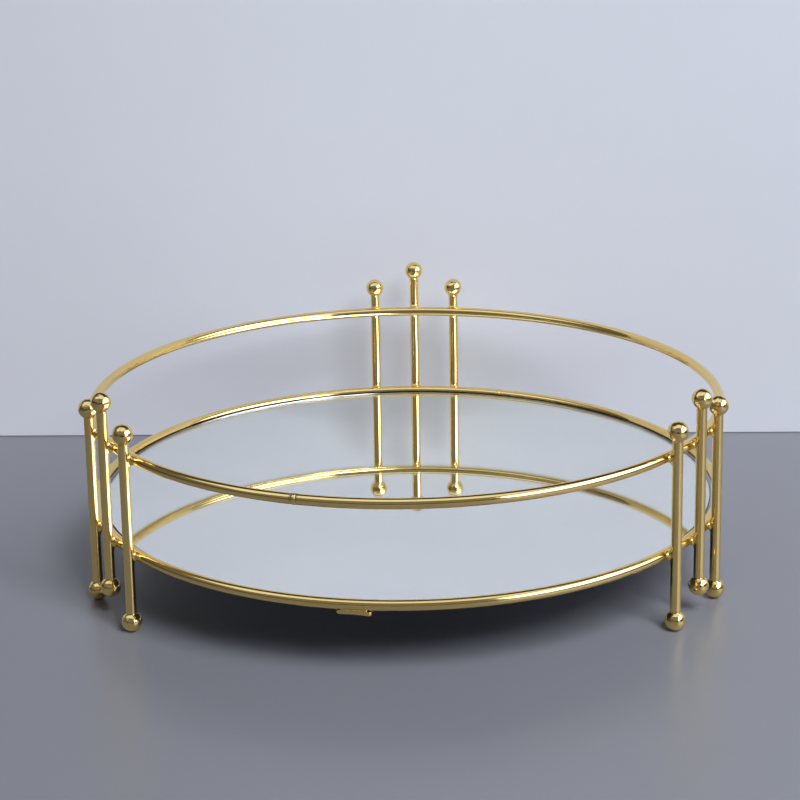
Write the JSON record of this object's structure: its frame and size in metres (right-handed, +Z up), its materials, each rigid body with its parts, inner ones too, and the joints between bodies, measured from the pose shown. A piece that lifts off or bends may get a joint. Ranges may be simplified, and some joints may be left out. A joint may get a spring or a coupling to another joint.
{
  "type": "dresser vanity tray",
  "caption": "Round vanity tray: a mirror inside a gallery of polished gold wire, two rings held by groups of upright rods with ball ends.",
  "frame": {"origin": "on the axis of the rings, at the height of the surface that the outer bottom balls stand on", "axes": "+Z up along the axis of the rings; the back group of rods is towards +Y and the front of the tray faces -Y; +X is to the right seen from the front"},
  "size_m": [0.2845, 0.2912, 0.1004],
  "materials": {
    "plated_wire": "polished gold plating on drawn steel wire",
    "plated_ball": "polished gold plating on steel balls",
    "plated_weld": "gold plating over braze and weld, a little deeper in colour",
    "mirror_plate": "clear float glass, silvered behind",
    "mirror_paint": "grey mirror backing paint, satin",
    "clear_glue": "cured clear silicone"
  },
  "bodies": {
    "root": {"upper_ring": "plated_wire", "lower_ring": "plated_wire", "upper_ring_seam_weld": "plated_weld", "lower_ring_seam_weld": "plated_weld", "back_right_rod": "plated_wire", "back_right_top_ball": "plated_ball", "back_right_bottom_ball": "plated_ball", "back_middle_rod": "plated_wire", "back_middle_top_ball": "plated_ball", "back_middle_bottom_ball": "plated_ball", "back_left_rod": "plated_wire", "back_left_top_ball": "plated_ball", "back_left_bottom_ball": "plated_ball", "left_rear_rod": "plated_wire", "left_rear_top_ball": "plated_ball", "left_rear_bottom_ball": "plated_ball", "left_middle_rod": "plated_wire", "left_middle_top_ball": "plated_ball", "left_middle_bottom_ball": "plated_ball", "left_front_rod": "plated_wire", "left_front_top_ball": "plated_ball", "left_front_bottom_ball": "plated_ball", "right_front_rod": "plated_wire", "right_front_top_ball": "plated_ball", "right_front_bottom_ball": "plated_ball", "right_middle_rod": "plated_wire", "right_middle_top_ball": "plated_ball", "right_middle_bottom_ball": "plated_ball", "right_rear_rod": "plated_wire", "right_rear_top_ball": "plated_ball", "right_rear_bottom_ball": "plated_ball", "back_upper_ring_braze": "plated_weld", "back_lower_ring_braze": "plated_weld", "back_top_ball_collars": "plated_weld", "back_bottom_ball_collars": "plated_weld", "left_upper_ring_braze": "plated_weld", "left_lower_ring_braze": "plated_weld", "left_top_ball_collars": "plated_weld", "left_bottom_ball_collars": "plated_weld", "right_upper_ring_braze": "plated_weld", "right_lower_ring_braze": "plated_weld", "right_top_ball_collars": "plated_weld", "right_bottom_ball_collars": "plated_weld", "front_mirror_tab": "plated_wire", "front_glue_pad": "clear_glue", "front_tab_welds": "plated_weld", "right_mirror_tab": "plated_wire", "right_glue_pad": "clear_glue", "right_tab_welds": "plated_weld", "left_mirror_tab": "plated_wire", "left_glue_pad": "clear_glue", "left_tab_welds": "plated_weld", "mirror_glass": "mirror_plate", "mirror_backing": "mirror_paint"}
  },
  "joints": []
}
